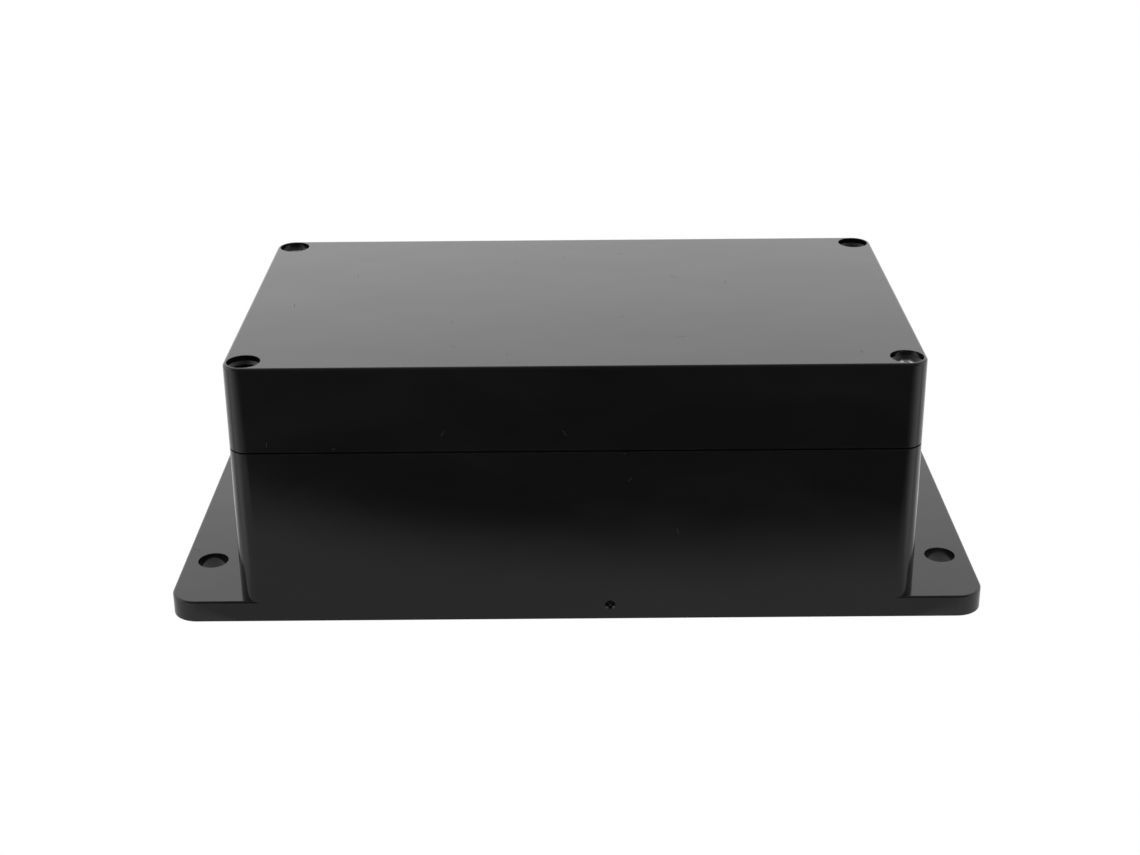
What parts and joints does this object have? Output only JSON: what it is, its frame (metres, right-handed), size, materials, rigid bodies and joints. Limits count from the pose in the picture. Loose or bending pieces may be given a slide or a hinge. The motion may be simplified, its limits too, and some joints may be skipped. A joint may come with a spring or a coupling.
{
  "type": "cellular signal booster",
  "caption": "Black wall-mount cellular signal booster in a flanged plastic case with a deep screwed lid; antenna jacks, power inlet and status lamp on the back wall.",
  "frame": {"origin": "centre of the case's flat underside, which lies on the wall", "axes": "+X along the case towards one ear, +Y towards the long wall that holds the ports, +Z out of the wall through the lid"},
  "size_m": [0.1924, 0.1071, 0.064],
  "materials": {
    "case_plastic": "smooth moulded black plastic, satin gloss",
    "seal_rubber": "matt moulded silicone rubber",
    "brass": "turned brass",
    "stainless": "bright stainless steel",
    "steel": "zinc plated steel",
    "bare_aluminium": "milled aluminium",
    "thermal_silicone": "soft silicone pad",
    "board_laminate": "green solder mask",
    "tinned_steel": "tin plated sheet steel",
    "chip_epoxy": "moulded epoxy",
    "ferrite": "pressed ferrite",
    "capacitor_can": "drawn aluminium can",
    "chip_ceramic": "fired ceramic with tinned ends",
    "white_nylon": "moulded nylon",
    "gold_plate": "gold plate",
    "nickel_plate": "nickel plate",
    "inlet_plastic": "moulded black plastic",
    "silvered_ceramic": "silver fired ceramic",
    "ptfe": "machined fluoropolymer",
    "coax_jacket": "extruded fluoropolymer jacket",
    "red_wire": "extruded insulation",
    "black_wire": "extruded insulation",
    "lens_plastic": "clear moulded light guide",
    "lamp_epoxy": "tinted clear epoxy"
  },
  "bodies": {
    "base": {"base_housing": "case_plastic", "board_coax_sockets": "gold_plate", "board_screws": "steel", "board_standoffs": "brass", "chip_parts": "chip_ceramic", "coax_plugs": "gold_plate", "controller_chip": "chip_epoxy", "downlink_amplifiers": "chip_epoxy", "downlink_shield_frame": "tinned_steel", "downlink_shield_lid": "tinned_steel", "filter_capacitors": "capacitor_can", "heat_spreader": "bare_aluminium", "indoor_coax": "coax_jacket", "indoor_duplexer": "silvered_ceramic", "indoor_jack_body": "nickel_plate", "indoor_jack_contact": "gold_plate", "indoor_jack_insulator": "ptfe", "indoor_jack_nut": "nickel_plate", "indoor_jack_seal": "seal_rubber", "indoor_jack_washer": "nickel_plate", "led_holder": "inlet_plastic", "lid_gasket": "seal_rubber", "lid_screw_inserts": "brass", "main_board": "board_laminate", "outdoor_coax": "coax_jacket", "outdoor_duplexer": "silvered_ceramic", "outdoor_jack_body": "nickel_plate", "outdoor_jack_contact": "gold_plate", "outdoor_jack_insulator": "ptfe", "outdoor_jack_nut": "nickel_plate", "outdoor_jack_seal": "seal_rubber", "outdoor_jack_washer": "nickel_plate", "power_header": "white_nylon", "power_inductors": "ferrite", "power_jack_body": "inlet_plastic", "power_jack_nut": "nickel_plate", "power_jack_pin": "nickel_plate", "power_jack_seal": "seal_rubber", "power_jack_spring": "nickel_plate", "power_lead_negative": "black_wire", "power_lead_positive": "red_wire", "spreader_screws": "steel", "status_led": "lamp_epoxy", "status_lens": "lens_plastic", "thermal_pads": "thermal_silicone", "uplink_amplifiers": "chip_epoxy", "uplink_shield_frame": "tinned_steel", "uplink_shield_lid": "tinned_steel"},
    "lid": {"lid": "case_plastic"},
    "washer_front_left": {"lid_screw_washer_front_left": "seal_rubber"},
    "screw_front_left": {"lid_screw_front_left": "stainless"},
    "washer_front_right": {"lid_screw_washer_front_right": "seal_rubber"},
    "screw_front_right": {"lid_screw_front_right": "stainless"},
    "washer_back_left": {"lid_screw_washer_back_left": "seal_rubber"},
    "screw_back_left": {"lid_screw_back_left": "stainless"},
    "washer_back_right": {"lid_screw_washer_back_right": "seal_rubber"},
    "screw_back_right": {"lid_screw_back_right": "stainless"}
  },
  "joints": [
    {"name": "lid_lift", "type": "slide", "parent": "base", "child": "lid", "axis": [0, 0, 1], "range_m": [0, 0.075]},
    {"name": "screw_front_left_climb", "type": "slide", "parent": "lid", "child": "washer_front_left", "axis": [0, 0, 1], "range_m": [0, 0.0105]},
    {"name": "screw_front_left_turn", "type": "hinge", "parent": "washer_front_left", "child": "screw_front_left", "pos_m": [-0.07425, -0.04025, 0.058], "axis": [0, 0, 1], "range_deg": [0, 7570]},
    {"name": "screw_front_right_climb", "type": "slide", "parent": "lid", "child": "washer_front_right", "axis": [0, 0, 1], "range_m": [-0.0022, 0.0083]},
    {"name": "screw_front_right_turn", "type": "hinge", "parent": "washer_front_right", "child": "screw_front_right", "pos_m": [0.07425, -0.04025, 0.058], "axis": [0, 0, 1], "range_deg": [-1594, 5986]},
    {"name": "screw_back_left_climb", "type": "slide", "parent": "lid", "child": "washer_back_left", "axis": [0, 0, 1], "range_m": [-0.0022, 0.0083]},
    {"name": "screw_back_left_turn", "type": "hinge", "parent": "washer_back_left", "child": "screw_back_left", "pos_m": [-0.07425, 0.04025, 0.058], "axis": [0, 0, 1], "range_deg": [-1594, 5986]},
    {"name": "screw_back_right_climb", "type": "slide", "parent": "lid", "child": "washer_back_right", "axis": [0, 0, 1], "range_m": [0, 0.0105]},
    {"name": "screw_back_right_turn", "type": "hinge", "parent": "washer_back_right", "child": "screw_back_right", "pos_m": [0.07425, 0.04025, 0.058], "axis": [0, 0, 1], "range_deg": [0, 7570]}
  ],
  "couplings": [
    {"joint": "screw_front_left_turn", "follows": "screw_front_left_climb", "rad_per_m": 12566},
    {"joint": "screw_front_right_turn", "follows": "screw_front_right_climb", "rad_per_m": 12566},
    {"joint": "screw_back_left_turn", "follows": "screw_back_left_climb", "rad_per_m": 12566},
    {"joint": "screw_back_right_turn", "follows": "screw_back_right_climb", "rad_per_m": 12566}
  ]
}
